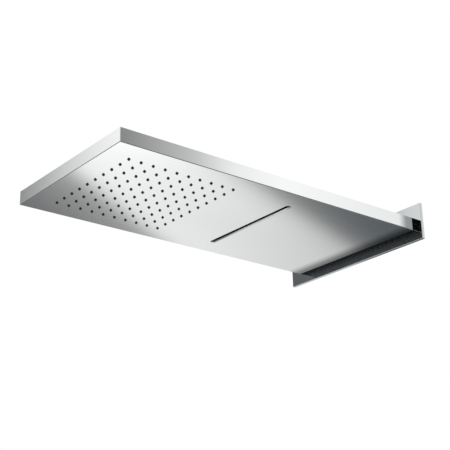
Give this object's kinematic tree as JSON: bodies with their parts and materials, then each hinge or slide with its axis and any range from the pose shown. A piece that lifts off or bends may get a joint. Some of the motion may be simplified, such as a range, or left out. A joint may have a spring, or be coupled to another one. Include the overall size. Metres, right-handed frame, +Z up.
{
  "type": "overhead shower head",
  "caption": "Flat rectangular wall-mounted overhead shower head in satin stainless steel, with a field of soft rain nozzles, a cascade slot and a rectangular wall cover plate.",
  "frame": {"origin": "centre of the wall bracket's back face, in the wall's plane", "axes": "+Y into the wall, so the head reaches out along -Y; +X along the wall, +Z up"},
  "size_m": [0.275, 0.5205, 0.054],
  "materials": {
    "satin_steel": "satin stainless steel",
    "polished_steel": "polished stainless steel",
    "bracket_steel": "plain stainless steel",
    "pipe_steel": "drawn stainless tube",
    "fastener_steel": "plain stainless steel",
    "turned_brass": "turned brass",
    "nozzle_silicone": "matt dark silicone",
    "seal_rubber": "matt black rubber",
    "chamber_plastic": "matt dark moulding"
  },
  "bodies": {
    "root": {"lower_pan": "satin_steel", "top_lid": "satin_steel", "wall_cover_plate": "polished_steel", "nozzle_mat": "nozzle_silicone", "rain_chamber": "chamber_plastic", "cascade_chamber": "chamber_plastic", "cascade_lip": "satin_steel", "cascade_gasket": "seal_rubber", "union_washers": "seal_rubber", "inlet_seal_rings": "seal_rubber", "rain_chamber_studs": "fastener_steel", "cascade_chamber_studs": "fastener_steel", "rain_chamber_nuts": "fastener_steel", "cascade_chamber_nuts": "fastener_steel", "arm_set_screws": "fastener_steel", "rain_feed_pipe": "pipe_steel", "cascade_feed_pipe": "pipe_steel", "rain_union_nut": "turned_brass", "cascade_union_nut": "turned_brass", "rain_inlet_socket": "turned_brass", "cascade_inlet_socket": "turned_brass", "rain_inlet_nipple": "turned_brass", "cascade_inlet_nipple": "turned_brass", "left_arm_sleeve": "bracket_steel", "right_arm_sleeve": "bracket_steel", "wall_bracket": "bracket_steel"}
  },
  "joints": []
}
